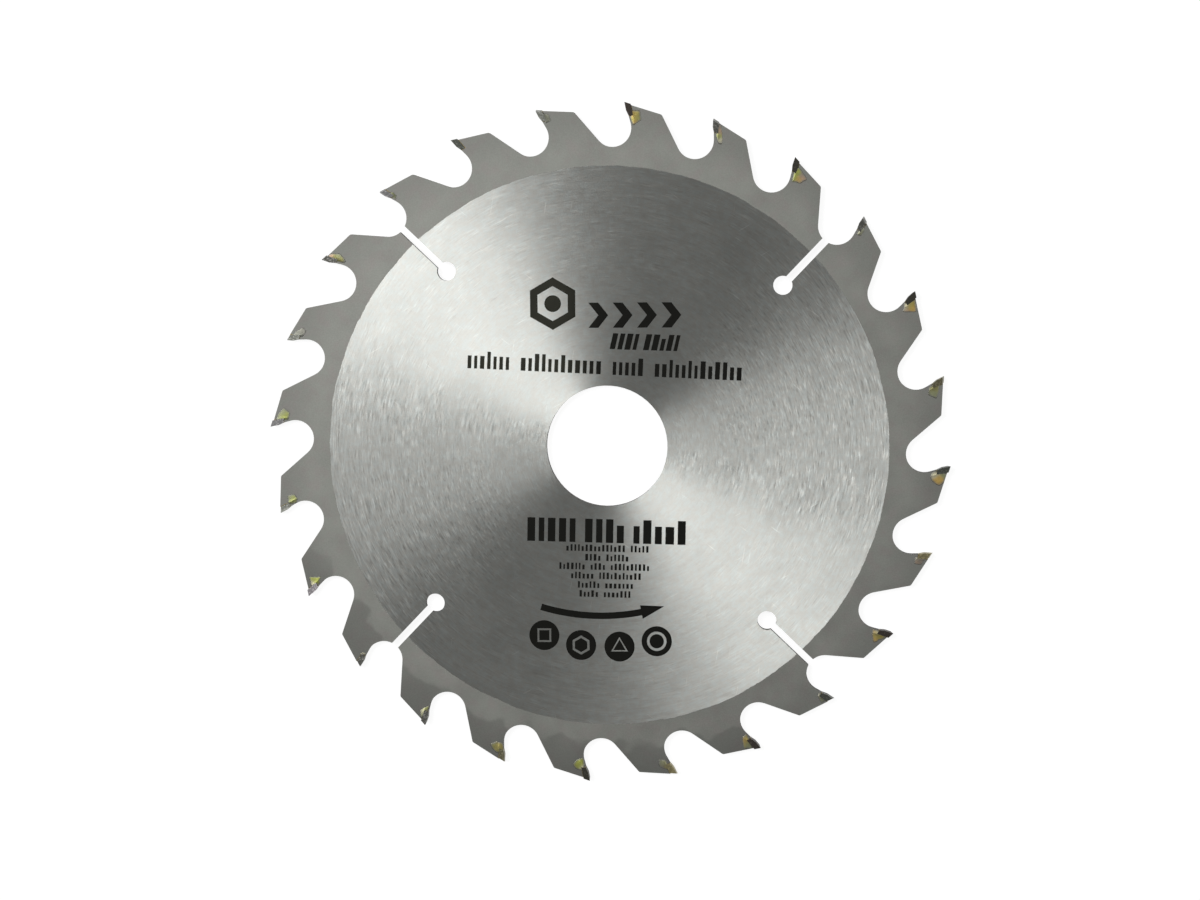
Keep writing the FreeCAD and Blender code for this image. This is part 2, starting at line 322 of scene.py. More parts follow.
# Unevenness that doesn't follow the grinding, and the few pale scratches that cross it
uneven = {
    "patch": {"scale": 0.28, "detail": 2.0, "roughness": 0.6, "edge": (0.36, 0.62)},
    "blotch": {"scale": 0.55, "detail": 3.0, "roughness": 0.7, "tone": 0.3, "dull": 0.06},
    "cloud": {"scale": 0.07, "detail": 2.0, "roughness": 0.5, "tone": 0.25},
    "scratch": {"detail": 1.0, "roughness": 0.5, "tone": 0.3, "edge": (0.69, 0.82), "length": 9.0,
                "turnsAndWidths": ((0.5, 0.5), (1.4, 0.4), (2.5, 0.6))},
}


# Noise at (circle cos a, circle sin a, outward r + shift). With two circles, it goes over from the first
# to the second further out, so that the marks keep one length
def grindingNoise(graph, polar, mark):
    radius, across, along = polar
    outward = radius * mark["outward"] + mark["shift"]
    places = [graph.join(across * size, along * size, outward) for size in mark["circles"]]
    layers = [graph.noise(place, mark) for place in places]
    if len(layers) == 1:
        return layers[0]
    return layers[0] + radius.between(*disc["crowding"]) * (layers[1] - layers[0])


# 1 at the noise's peaks, -1 in its pits and 0 between them
def paleAndDark(graph, polar, mark):
    noise = grindingNoise(graph, polar, mark)
    return noise.between(*mark["pale"]) - (1 - noise).between(*mark["dark"])


# Two opposite sectors: the cosine of the angle from a line, made a mask
def sectors(polar, line, edge):
    return abs(line[0] * polar[1] + line[1] * polar[2]).between(*edge)


# Straight noise stretched along three directions, of which only the peaks show
def crossingScratches(graph, flat):
    look = uneven["scratch"]
    scratches = 0.0
    for turn, width in look["turnsAndWidths"]:
        settings = {"Vector": flat, "Rotation": (0, 0, turn), "Scale": (look["length"], width, 1.0)}
        lines = graph.add("ShaderNodeMapping", {"vector_type": "TEXTURE"}, settings)
        scratches = scratches + graph.noise(lines, look).between(*look["edge"])
    return scratches


# Ground steel: the shade and the slope of every mark, summed, with gloss drawn out across the marks
def groundSteel(graph, x, y, polar):
    radius, across, along = polar
    flat = graph.join(x, y, 0.0)
    patch = graph.noise(flat, uneven["patch"]).between(*uneven["patch"]["edge"])
    blotch = graph.noise(flat, uneven["blotch"]) - 0.5
    cloud = graph.noise(flat, uneven["cloud"]) - 0.5
    fine = grindingNoise(graph, polar, marks["strokes"])
    sweep = grindingNoise(graph, polar, marks["sweeps"]) - 0.5
    slope = grindingNoise(graph, polar, marks["slopes"]) - 0.5
    gained = radius.between(*disc["gaining"])
    depth = disc["shallow"] + disc["deepening"] * sectors(polar, disc["deepLine"], disc["deepSector"])

    # Fainter outside the patches, towards the bore and beside the deep sectors
    def faded(mark):
        inside = mark["inside"]
        return (mark["even"] + mark["patchy"] * patch) * (inside + (1 - inside) * gained) * depth

    dash = paleAndDark(graph, polar, marks["dashes"]) * faded(marks["dashes"])
    chatter = sectors(polar, disc["chatterLine"], disc["chatterSector"])
    fleck = paleAndDark(graph, polar, marks["flecks"]) * chatter * radius.between(*disc["chatterRadius"])
    tone = 1 + marks["strokes"]["tone"] * (fine - 0.5) * faded(marks["strokes"])
    tone = tone + marks["sweeps"]["tone"] * sweep
    tone = tone + marks["dashes"]["tone"] * dash + marks["flecks"]["tone"] * fleck
    tone = tone + uneven["blotch"]["tone"] * blotch + uneven["cloud"]["tone"] * cloud
    tone = tone + uneven["scratch"]["tone"] * crossingScratches(graph, flat) * patch
    cool = (blotch + 0.5 + fine * disc["coolStrokes"]).between(*disc["cool"])

    slope = slope * (marks["slopes"]["even"] + patch) * depth
    slope = slope + marks["dashes"]["tilt"] * dash + marks["flecks"]["tilt"] * fleck
    sideways = graph.tint(graph.join(0.0 - along, across, 0.0), marks["slopes"]["tilt"] * slope)
    upright = graph.add("ShaderNodeNewGeometry", output="Normal")
    tilted = graph.add("ShaderNodeVectorMath", {"operation": "ADD"}, {0: upright, 1: sideways})
    normal = graph.add("ShaderNodeVectorMath", {"operation": "NORMALIZE"}, {0: tilted})
    return graph.surface(
        graph.tint(graph.mix(cool, disc["colour"], disc["coolColour"]), tone),
        disc["roughness"] + marks["sweeps"]["dull"] * sweep + uneven["blotch"]["dull"] * blotch,
        graph.bump(fine, disc["bump"], normal),
        others={"Anisotropic": disc["anisotropy"], "Anisotropic Rotation": disc["acrossStrokes"]},
    )


ring = {
    "colour": (0.33, 0.337, 0.31, 1),
    "warmColour": (0.335, 0.325, 0.305, 1),
    "warmth": {"scale": 0.35, "detail": 2.0, "roughness": 0.6, "edge": (0.4, 0.7)},
    "grain": {"scale": 3.0, "detail": 3.0, "roughness": 0.6, "tone": 0.3},
    "cloud": {"scale": 0.11, "detail": 2.0, "roughness": 0.55, "tone": 0.4, "dull": 0.1},
    "roughness": 0.60,
    "bump": 0.01,
    "wallColour": (0.06, 0.057, 0.05, 1),
    "wallSkin": 0.004,  # the plate's walls begin this far below its faces
}

# Stains on the ring, and painted shade on its lower side and by its lower teeth. Lean turns the half of the
# ring that a painted shade darkens away from straight down
stainsAndPaintedShade = {
    "tooth": 0.15,  # how much darker the steel is out at the teeth
    "toothRadius": (77, 88),
    "toothEven": 0.35,
    "toothClouds": 1.3,
    # Painted shade: how much the lower side of the ring darkens, as a share of the stain at the teeth
    "lower": 0.1,
    "lowerLean": 0.5,
    "lowerHalf": (30, 80),
    "paintedShadeByTeeth": 0.2,  # painted shade: how much darker the band by the lower teeth is
    "paintedShadeByTeethRadius": (78.6, 81.0),
    "paintedShadeByTeethDrift": 18,
    "paintedShadeByTeethEdge": {"scale": 0.13, "detail": 1.0, "roughness": 0.5},
    "paintedShadeByTeethLean": -0.35,
    "paintedShadeByTeethHalf": (50, 64),
}


# Scale from hardening: grain and soft clouds, darker out at the teeth, with painted shade over the lower
# side of the ring and a clear-edged band of painted shade by the lower teeth
def hardenedSteel(graph, x, y, z, radius, wall):
    here = graph.join(x, y, z)
    grain = graph.noise(here, ring["grain"])
    cloud = graph.noise(here, ring["cloud"])
    # Painted shade: the lower side of the ring, turned towards the right, darkens with the stain at the
    # teeth
    lower = (x * stainsAndPaintedShade["lowerLean"] - y).between(*stainsAndPaintedShade["lowerHalf"])
    clouded = stainsAndPaintedShade["toothEven"] + stainsAndPaintedShade["toothClouds"] * cloud
    stain = radius.between(*stainsAndPaintedShade["toothRadius"]) * clouded + lower * stainsAndPaintedShade["lower"]
    # Painted shade: a band by the teeth on the lower left of the ring, with a wobbling edge
    drift = stainsAndPaintedShade["paintedShadeByTeethDrift"] * (graph.noise(graph.join(x, y, 0.0), stainsAndPaintedShade["paintedShadeByTeethEdge"]) - 0.5)
    paintedShadeBand = (radius + drift).between(*stainsAndPaintedShade["paintedShadeByTeethRadius"])
    paintedShadeByTeeth = paintedShadeBand * (x * stainsAndPaintedShade["paintedShadeByTeethLean"] - y).between(*stainsAndPaintedShade["paintedShadeByTeethHalf"])
    tone = 1 + ring["grain"]["tone"] * (grain - 0.5) + ring["cloud"]["tone"] * (cloud - 0.5)
    tone = tone * (1 - stainsAndPaintedShade["tooth"] * stain) * (1 - stainsAndPaintedShade["paintedShadeByTeeth"] * paintedShadeByTeeth)
    warmth = graph.noise(here, ring["warmth"]).between(*ring["warmth"]["edge"])
    face = graph.tint(graph.mix(warmth, ring["colour"], ring["warmColour"]), tone)
    return graph.surface(
        graph.mix(wall, face, ring["wallColour"]),
        ring["roughness"] + ring["cloud"]["dull"] * (cloud - 0.5),
        graph.bump(grain, ring["bump"]),
    )


def bladeSteel():
    material, graph = newMaterial("bladeSteel")
    x, y, z = graph.split(graph.place())
    down = y + disc["down"]
    radius = (x * x + down * down) ** 0.5
    polar = radius, x / radius, down / radius
    wall = abs(z) < plateTop - ring["wallSkin"]
    rim = disc["radius"] + disc["raggedness"] * (grindingNoise(graph, polar, marks["rim"]) - 0.5)
    beyond = (radius - rim).between(*disc["softEdge"])
    dull = 1 - (1 - beyond) * (1 - wall)
    ground = groundSteel(graph, x, y, polar)
    graph.finish(graph.mixShaders(dull, ground, hardenedSteel(graph, x, y, z, radius, wall)))
    return material


wear(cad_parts["blade_body"], bladeSteel())
print("plate finished")

# Teeth: the straight edges that the seat and the tooth's top follow, with the cutting point straight up
teeth = {
    "count": 24,
    "firstAngle": 11.65,  # azimuth of the first cutting point
    "tipRadius": 90,
    "hook": 14.3,
    "clearance": 14.3,
    "shoulderDrop": 0.3,
    "throatAngle": 18.8,
    "footSetback": 1.25,
    "tipHeight": 3.45,
    "tipThickness": 1.5,
}

carbideLooks = {
    "black": {"dark": (0.060, 0.058, 0.046, 1), "pale": (0.13, 0.125, 0.10, 1), "share": 0.4},
    "coal": {"dark": (0.066, 0.056, 0.048, 1), "pale": (0.14, 0.12, 0.10, 1), "share": 0.4},
    "slate": {"dark": (0.095, 0.10, 0.086, 1), "pale": (0.23, 0.235, 0.21, 1), "share": 0.45},
    "mottled": {"dark": (0.11, 0.11, 0.098, 1), "pale": (0.33, 0.325, 0.30, 1), "share": 0.55},
    "silver": {"dark": (0.18, 0.178, 0.178, 1), "pale": (0.37, 0.36, 0.36, 1), "share": 0.6},
    "bright": {"dark": (0.27, 0.255, 0.265, 1), "pale": (0.48, 0.45, 0.465, 1), "share": 0.6},
    "chalky": {"dark": (0.20, 0.205, 0.18, 1), "pale": (0.37, 0.375, 0.34, 1), "share": 0.65},
    "olive": {"dark": (0.15, 0.138, 0.085, 1), "pale": (0.35, 0.325, 0.21, 1), "share": 0.55},
    "straw": {"dark": (0.25, 0.22, 0.12, 1), "pale": (0.52, 0.46, 0.25, 1), "share": 0.6},
}

tipGrinding = {
    "fleck": {"scale": 1.9, "detail": 3.0, "roughness": 0.7},
    "marks": {"scale": 2.5, "detail": 2.0, "roughness": 0.6, "tone": 0.35},
    "stretch": (1, 1, 9),
    "paleFrom": 0.72,
    "paleTo": 0.86,
    "shareShift": 0.4,
    "roughness": 0.5,
    "polish": 0.12,
    "bump": 0.01,
    "metallic": 0.85,
}


# Ground carbide: two tones in small flecks, with faint marks of the wheel
def carbide(name, look):
    material, graph = newMaterial("carbide_" + name)
    here = graph.place()
    across = graph.add("ShaderNodeMapping", None, {"Vector": here, "Scale": tipGrinding["stretch"]})
    wheelMarks = graph.noise(across, tipGrinding["marks"])
    fleck = graph.noise(here, tipGrinding["fleck"]) + tipGrinding["marks"]["tone"] * (wheelMarks - 0.5)
    shift = tipGrinding["shareShift"] * look["share"]
    pale = fleck.between(tipGrinding["paleFrom"] - shift, tipGrinding["paleTo"] - shift)
    colour = graph.mix(pale, look["dark"], look["pale"])
    roughness = tipGrinding["roughness"] - tipGrinding["polish"] * pale
    bump = graph.bump(wheelMarks, tipGrinding["bump"])
    graph.finish(graph.surface(colour, roughness, bump, tipGrinding["metallic"]))
    return material


carbides = {name: carbide(name, look) for name, look in carbideLooks.items()}

# What shows at each tooth: the carbide's look, how strongly the braze colours the steel beside it, the
# corners of the braze patch clockwise from its upper left, and (x, y, tone) places in it, all in
# millimetres with the cutting point straight up at x 0 and y 90
toothLooks = [
    {"carbide": "olive", "braze": 0.8,
     "corners": [(1.6, 88.3), (3.6, 87.7), (5.1, 86.8), (3.8, 85.0), (2.0, 85.6), (1.5, 86.8)],
     "tones": [(2.4, 87.2, "olive"), (3.9, 86.2, "moss"), (2.2, 86.0, "olive")]},
    {"carbide": "black", "braze": 1.0,
     "corners": [(2.0, 88.9), (4.9, 87.9), (3.4, 84.9), (1.8, 86.1)],
     "tones": [(3.0, 87.0, "gold"), (4.0, 87.2, "orange"), (3.6, 85.8, "copper"), (2.1, 86.2, "pale"),
               (2.8, 85.4, "pale")]},
    {"carbide": "mottled", "braze": 0.4,
     "corners": [(1.7, 88.0), (2.9, 87.6), (3.2, 86.0), (2.2, 85.4)],
     "tones": [(2.4, 87.0, "moss"), (2.6, 86.0, "olive")]},
    {"carbide": "black", "braze": 0.9,
     "corners": [(2.2, 88.4), (3.5, 87.7), (5.7, 86.9), (4.9, 85.3), (2.8, 84.3), (2.0, 86.2)],
     "tones": [(2.8, 87.2, "lime"), (2.7, 85.3, "lime"), (4.7, 86.4, "copper"), (4.0, 85.5, "orange"),
               (4.2, 87.2, "brown")]},
    {"carbide": "mottled", "braze": 0.7,
     "corners": [(1.7, 89.0), (2.5, 88.9), (3.4, 87.0), (4.3, 84.6), (3.3, 84.2), (2.1, 86.0)],
     "tones": [(2.3, 88.4, "brown"), (2.9, 87.3, "copper"), (2.7, 86.0, "lime"), (3.6, 84.9, "pale")]},
    {"carbide": "coal", "braze": 0.95,
     "corners": [(1.9, 88.0), (4.1, 87.8), (4.5, 85.7), (2.7, 84.2), (1.9, 85.4)],
     "tones": [(3.2, 86.9, "gold"), (2.2, 86.6, "orange"), (2.6, 85.0, "orange"), (3.9, 86.2, "olive"),
               (2.1, 85.5, "lime")]},
    {"carbide": "chalky", "braze": 0.3,
     "corners": [(1.7, 88.5), (3.2, 88.1), (3.5, 86.3), (2.2, 86.0)],
     "tones": [(2.6, 87.3, "moss")]},
    {"carbide": "slate", "braze": 0.0,
     "corners": [],
     "tones": []},
    {"carbide": "silver", "braze": 0.45,
     "corners": [(1.6, 87.6), (2.8, 87.4), (2.9, 85.9), (2.0, 85.4)],
     "tones": [(2.1, 86.8, "lime"), (2.4, 86.0, "moss")]},
    {"carbide": "mottled", "braze": 0.9,
     "corners": [(1.3, 89.2), (2.6, 88.9), (3.9, 86.8), (3.4, 84.8), (2.5, 84.7), (1.7, 87.0)],
     "tones": [(1.9, 88.6, "copper"), (2.4, 87.2, "olive"), (2.9, 85.7, "olive"), (3.4, 86.8, "moss")]},
    {"carbide": "chalky", "braze": 0.14,
     "corners": [(1.7, 88.6), (3.3, 87.8), (4.6, 86.4), (3.9, 85.4), (2.2, 86.0)],
     "tones": [(2.5, 87.4, "moss"), (4.0, 86.3, "pale")]},
    {"carbide": "silver", "braze": 0.75,
     "corners": [(1.8, 88.6), (3.2, 88.3), (5.1, 86.8), (4.1, 85.1), (2.2, 85.3)],
     "tones": [(2.8, 86.6, "lime"), (2.6, 88.1, "moss"), (4.0, 86.9, "moss"), (3.4, 85.6, "lime")]},
    {"carbide": "chalky", "braze": 0.65,
     "corners": [(2.1, 86.8), (4.3, 86.6), (4.3, 84.9), (3.1, 84.1), (2.0, 84.8)],
     "tones": [(3.2, 85.3, "lime"), (4.0, 86.2, "moss")]},
    {"carbide": "bright", "braze": 0.9,
     "corners": [(2.0, 88.1), (4.5, 87.5), (3.2, 84.9), (1.8, 85.8)],
     "tones": [(2.5, 87.7, "pale"), (3.3, 86.6, "lime"), (2.5, 86.0, "lime")]},
    {"carbide": "mottled", "braze": 0.6,
     "corners": [(1.8, 87.2), (2.7, 87.1), (2.3, 86.2), (1.6, 85.9)],
     "tones": [(2.2, 86.9, "pale"), (1.9, 86.2, "pale")]},
    {"carbide": "mottled", "braze": 0.85,
     "corners": [(1.6, 88.9), (2.4, 88.6), (3.3, 87.4), (2.6, 85.8), (1.8, 85.1)],
     "tones": [(2.1, 88.0, "moss"), (2.9, 87.4, "pale"), (2.2, 86.6, "lime"), (2.2, 87.1, "pale")]},
    {"carbide": "olive", "braze": 0.85,
     "corners": [(1.0, 88.0), (3.3, 87.6), (5.0, 86.4), (3.7, 84.9), (1.8, 85.1), (1.0, 86.5)],
     "tones": [(2.2, 87.0, "olive"), (3.2, 86.4, "gold"), (4.2, 86.4, "olive"), (2.2, 86.0, "gold")]},
    {"carbide": "black", "braze": 0.95,
     "corners": [(1.6, 87.3), (3.4, 87.2), (4.6, 86.4), (4.2, 85.1), (3.2, 84.3), (2.0, 84.2)],
     "tones": [(2.8, 85.5, "lime"), (2.0, 86.7, "pale"), (4.4, 86.4, "olive"), (3.3, 85.9, "lime")]},
    {"carbide": "straw", "braze": 0.6,
     "corners": [(1.7, 88.2), (3.0, 87.6), (4.2, 86.6), (3.9, 85.0), (2.3, 85.3)],
     "tones": [(2.3, 87.2, "gold"), (3.4, 86.2, "moss"), (2.6, 86.2, "olive"), (3.6, 87.0, "brown")]},
    {"carbide": "coal", "braze": 0.85,
     "corners": [(2.0, 88.9), (4.1, 88.3), (3.2, 85.5), (1.9, 84.9), (1.7, 86.6)],
     "tones": [(2.8, 87.8, "moss"), (3.4, 87.0, "gold"), (3.0, 86.3, "orange"), (2.1, 86.0, "gold")]},
    {"carbide": "slate", "braze": 0.5,
     "corners": [(1.8, 88.6), (3.2, 88.3), (2.6, 86.2), (1.8, 86.0)],
     "tones": [(2.6, 87.8, "moss"), (2.1, 86.4, "pale")]},
    {"carbide": "coal", "braze": 0.95,
     "corners": [(1.9, 88.8), (3.2, 88.1), (4.8, 87.0), (3.5, 85.7), (2.1, 85.0), (1.6, 86.1)],
     "tones": [(2.7, 87.4, "gold"), (3.0, 86.3, "gold"), (4.2, 86.9, "orange"), (1.9, 86.1, "pale"),
               (2.4, 85.4, "orange")]},
    {"carbide": "straw", "braze": 0.6,
     "corners": [(1.8, 88.5), (3.8, 87.9), (3.9, 86.2), (2.2, 86.0)],
     "tones": [(2.9, 87.3, "brown"), (3.4, 86.8, "copper"), (2.1, 86.5, "pale")]},
    {"carbide": "slate", "braze": 1.0,
     "corners": [(2.0, 89.0), (4.2, 88.6), (5.2, 87.3), (4.1, 85.4), (2.2, 85.1), (1.6, 86.2)],
     "tones": [(3.4, 87.2, "orange"), (2.2, 88.2, "moss"), (1.9, 86.5, "pale"), (2.6, 85.7, "pale"),
               (4.2, 86.2, "orange")]},
]

for index, look in enumerate(toothLooks):
    wear(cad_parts[f"carbide_tip_{index + 1:02d}"], carbides[look["carbide"]])
print("tips finished")

brazeTones = {
    "gold": (0.44, 0.37, 0.11),
    "orange": (0.62, 0.43, 0.14),
    "olive": (0.33, 0.315, 0.11),
    "moss": (0.35, 0.37, 0.20),
    "lime": (0.41, 0.44, 0.10),
    "copper": (0.55, 0.38, 0.25),
    "brown": (0.36, 0.30, 0.24),
    "pale": (0.73, 0.69, 0.48),
    "steel": (0.26, 0.26, 0.24),
}

patchLook = {
    "stain": {"scale": 1.3, "detail": 3.0, "roughness": 0.65},
    "darkest": 0.8,
    "range": 0.4,
    "roughness": 0.5,
    "dull": 0.2,
    "bump": 0.015,
    "metallic": 0.9,
}

filmLook = {
    "stain": {"scale": 2.0, "detail": 3.0, "roughness": 0.6, "edge": (0.35, 0.65)},
    "dark": (0.20, 0.16, 0.07, 1),
    "pale": (0.42, 0.31, 0.10, 1),
    "roughness": 0.45,
    "bump": 0.02,
    "metallic": 0.85,
}


# Braze patch: its colour at each point, darker in small clouds
def brazeMetal():
    material, graph = newMaterial("brazeMetal")
    stain = graph.noise(graph.place(), patchLook["stain"])
    colour = graph.add("ShaderNodeAttribute", {"attribute_name": "brazeTone"}, None, "Color")
    shaded = graph.tint(colour, patchLook["darkest"] + patchLook["range"] * stain)
    roughness = patchLook["roughness"] + patchLook["dull"] * (stain - 0.5)
    bump = graph.bump(stain, patchLook["bump"])
    graph.finish(graph.surface(shaded, roughness, bump, patchLook["metallic"]))
    return material


# Braze film in the seat, seen only as a thin line
def brazeFilm():
    material, graph = newMaterial("brazeFilm")
    stain = graph.noise(graph.place(), filmLook["stain"])
    colour = graph.mix(stain.between(*filmLook["stain"]["edge"]), filmLook["dark"], filmLook["pale"])
    bump = graph.bump(stain, filmLook["bump"])
    graph.finish(graph.surface(colour, filmLook["roughness"], bump, filmLook["metallic"]))
    return material


patchFinish = brazeMetal()
filmFinish = brazeFilm()
for index in range(teeth["count"]):
    wear(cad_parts[f"braze_joint_{index + 1:02d}"], filmFinish)


# Point (x, y) rows turned counter-clockwise about the bore's centre
def turned(points, degrees):
    turn = math.radians(degrees)
    spin = np.array([[math.cos(turn), math.sin(turn)], [-math.sin(turn), math.cos(turn)]])
    return points @ spin


# Points beyond a straight edge are moved back onto it. The edge is the angle of its normal and its distance
# from the bore's centre
def keptBehind(points, normalAngle, distance):
    normal = np.array([math.cos(math.radians(normalAngle)), math.sin(math.radians(normalAngle))])
    beyond = np.maximum(points @ normal - distance, 0)
    return points - beyond[:, None] * normal


patchShape = {
    "rings": 9,
    "sectors": 48,
    "rounding": 2,  # how often each point of the outline is averaged with its neighbours
    "raggedness": 0.03,
    "firstWave": 3,
    "phase": 9,
    "height": 0.05,
    "bead": 0.17,  # how much thicker the braze is against the carbide
    "beadWidth": 0.25,
    "sunk": 0.02,
    "setBack": 0.03,  # how far the patch stays from the tooth's edges
    "blend": 0.75,
    "softRim": 0.4,
    "fade": 0.9,  # how far the colour fades to the steel's at the rim
    "spread": 1.1,
}


# Outline of a patch: points at even steps round the polygon, rounded, and spread from the middle by
# 1 + raggedness times the sum of wobble cos(wave angle + phase wobble)
def patchOutline(corners, wobble):
    closed = np.array(corners + corners[:1])[::-1]
    run = np.concatenate([[0], np.cumsum(np.linalg.norm(np.diff(closed, axis=0), axis=1))])
    walk = np.linspace(0, run[-1], patchShape["sectors"], endpoint=False)
    outline = np.column_stack([np.interp(walk, run, closed[:, 0]), np.interp(walk, run, closed[:, 1])])
    for _ in range(patchShape["rounding"]):
        outline = (outline + np.roll(outline, 1, 0) + np.roll(outline, -1, 0)) / 3
    angle = np.linspace(0, 2 * math.pi, patchShape["sectors"], endpoint=False)
    waves = np.arange(patchShape["firstWave"], patchShape["firstWave"] + len(wobble))
    swings = np.cos(np.outer(waves, angle) + wobble[:, None] * patchShape["phase"])
    ragged = 1 + patchShape["raggedness"] * (wobble[:, None] * swings).sum(0)
    middle = outline.mean(0)
    return middle, (outline - middle) * patchShape["spread"] * ragged[:, None]


# Height over the steel: (1 - share squared) (height + bead exp(-distance from the carbide / bead's width))
def patchRise(points, outward):
    hook = math.radians(teeth["hook"])
    backDistance = teeth["tipRadius"] * math.sin(hook) + teeth["tipThickness"]
    fromTip = np.abs(points @ (math.cos(hook), math.sin(hook)) - backDistance)
    bead = patchShape["bead"] * np.exp(-fromTip / patchShape["beadWidth"])
    return (1 - outward**2) * (patchShape["height"] + bead)


# Colour at a point: the tones' mean, weighted by exp(-(distance / blend) squared), fading to the steel's at
# the rim by a smooth step
def patchTone(points, outward, strength, tones):
    seats = np.array([place[:2] for place in tones])
    colours = np.array([brazeTones[place[2]] for place in tones])
    gap = ((points[:, None] - seats) ** 2).sum(-1)
    weight = np.exp(-gap / patchShape["blend"] ** 2) + 1e-6  # never 0, so that the mean holds far away
    tone = (weight[:, :, None] * colours).sum(1) / weight.sum(1)[:, None]
    rim = np.clip((outward - 1 + patchShape["softRim"]) / patchShape["softRim"], 0, 1)
    keep = strength * (1 - patchShape["fade"] * rim**2 * (3 - 2 * rim))
    plain = np.array(brazeTones["steel"])
    return plain + keep[:, None] * (tone - plain)


# Braze patch: rings at even shares of the way from the middle to the outline, kept on the tooth
def brazePatch(look, wobble):
    middle, spokes = patchOutline(look["corners"], wobble)
    share = np.linspace(0, 1, patchShape["rings"] + 1)[1:]
    points = np.vstack([middle[None], (middle + share[:, None, None] * spokes).reshape(-1, 2)])
    setBack = patchShape["setBack"]
    shoulder = teeth["tipRadius"] * math.cos(math.radians(teeth["clearance"])) - teeth["shoulderDrop"]
    throat = math.radians(teeth["throatAngle"])
    footRadius = teeth["tipRadius"] - teeth["tipHeight"]
    throatDistance = teeth["footSetback"] * math.cos(throat) + footRadius * math.sin(throat)
    points = keptBehind(points, 90 - teeth["clearance"], shoulder - setBack)
    points = keptBehind(points, 180 + teeth["throatAngle"], -throatDistance - setBack)
    outward = np.concatenate([[0], np.repeat(share, patchShape["sectors"])])
    return points, patchRise(points, outward), patchTone(points, outward, look["braze"], look["tones"])


# Faces of a closed lens: rings of quads over the top, the same turned over below, a wall between their
# rims, and fans at the two middles
def lensFaces(rings, sectors):
    count = 1 + rings * sectors
    here = np.arange(sectors)
    ahead = np.roll(here, -1)
    fan = np.stack([np.zeros(sectors, int), 1 + here, 1 + ahead], -1)
    ring = 1 + sectors * np.arange(rings - 1)[:, None]
    quads = np.stack([ring + here, ring + sectors + here, ring + sectors + ahead, ring + ahead], -1)
    quads = quads.reshape(-1, 4)
    rim = 1 + sectors * (rings - 1)
    wall = np.stack([rim + here, count + rim + here, count + rim + ahead, rim + ahead], -1)
    triangles = np.vstack([fan, fan[:, ::-1] + count])
    fours = np.vstack([quads, quads[:, ::-1] + count, wall])
    return triangles, fours


def newPiece(name, vertices, faces, material):
    mesh = bpy.data.meshes.new(name)
    mesh.from_pydata(vertices, [], faces)
    mesh.materials.append(material)
    piece = bpy.data.objects.new(name, mesh)
    bpy.context.scene.collection.objects.link(piece)
    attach(piece, "root")
    return piece


# One tooth's patch, on the near side (side 1) or on the far side (side -1)
def layBraze(index, look, side):
    points, rise, tone = brazePatch(look, random.uniform(-1, 1, 6))
    points = turned(points, teeth["firstAngle"] - 90 + index * 360 / teeth["count"])
    top = np.column_stack([points, (plateTop + rise) * side])
    bottom = np.column_stack([points, np.full(len(points), (plateTop - patchShape["sunk"]) * side)])
    triangles, fours = lensFaces(patchShape["rings"], patchShape["sectors"])
    faces = triangles[:, ::side].tolist() + fours[:, ::side].tolist()
    face = "near" if side > 0 else "far"
    vertices = np.vstack([top, bottom]) * millimetre
    piece = newPiece(f"braze_patch_{face}_{index + 1:02d}", vertices, faces, patchFinish)
    attribute = piece.data.attributes.new("brazeTone", "FLOAT_COLOR", "POINT")
    rgba = np.column_stack([np.vstack([tone, tone]), np.ones(2 * len(points))])
    attribute.data.foreach_set("color", rgba.astype(np.float32).ravel())
    piece.data.shade_smooth()


farSide = {"step": 7, "start": 3}  # the far side shows the same looks in another order

for index, look in enumerate(toothLooks):
    farLook = toothLooks[(index * farSide["step"] + farSide["start"]) % teeth["count"]]
    if look["corners"]:
        layBraze(index, look, 1)
    if farLook["corners"]:
        layBraze(index, farLook, -1)
print("braze laid")

# Print on the near side, in millimetres from the bore's centre
ink = {
    "thickness": 0.012,
    "sunk": 0.01,
    "colour": (0.0065, 0.0065, 0.0048, 1),
    "worn": (0.06, 0.06, 0.055, 1),
    "wear": 0.5,
    "speck": {"scale": 2.2, "detail": 3.0, "roughness": 0.7, "edge": (0.66, 0.74)},
    "cloud": {"scale": 0.25, "detail": 2.0, "roughness": 0.5},
    "darkest": 0.8,
    "range": 0.4,
    "paintedSheenStrength": 4.0,  # painted sheen: how much paler the ink is at the upper left
    "paintedSheenLeft": (0, 14),
    "paintedSheenUp": (0, 12),
    "roughness": 0.6,
    "gloss": 0.12,
}


def inkFinish():
    material, graph = newMaterial("ink")
    here = graph.place()
    x, y = graph.split(here)[:2]
    speck = graph.noise(here, ink["speck"]).between(*ink["speck"]["edge"])
    cloud = graph.noise(here, ink["cloud"])
    # Painted sheen: the ink is paler towards the upper left
    paintedSheen = (0.0 - x).between(*ink["paintedSheenLeft"]) * y.between(*ink["paintedSheenUp"])
    strength = (ink["darkest"] + ink["range"] * cloud) * (1 + ink["paintedSheenStrength"] * paintedSheen)
    colour = graph.mix(speck * ink["wear"], graph.tint(ink["colour"], strength), ink["worn"])
    graph.finish(graph.surface(colour, ink["roughness"], None, 0.0, {"Specular IOR Level": ink["gloss"]}))
    return material


# Points of an outline at the ink's top, and again just under the steel's face
def slab(outline):
    top = np.column_stack([outline, np.full(len(outline), plateTop + ink["thickness"])])
    bottom = np.column_stack([outline, np.full(len(outline), plateTop - ink["sunk"])])
    return np.vstack([top, bottom])


# Flat prism on the plate from a simple outline, counter-clockwise
def prism(outline):
    count = len(outline)
    here = np.arange(count)
    ahead = np.roll(here, -1)
    sides = np.stack([here + count, ahead + count, ahead, here], -1)
    return slab(outline), [here.tolist(), (here[::-1] + count).tolist()] + sides.tolist()


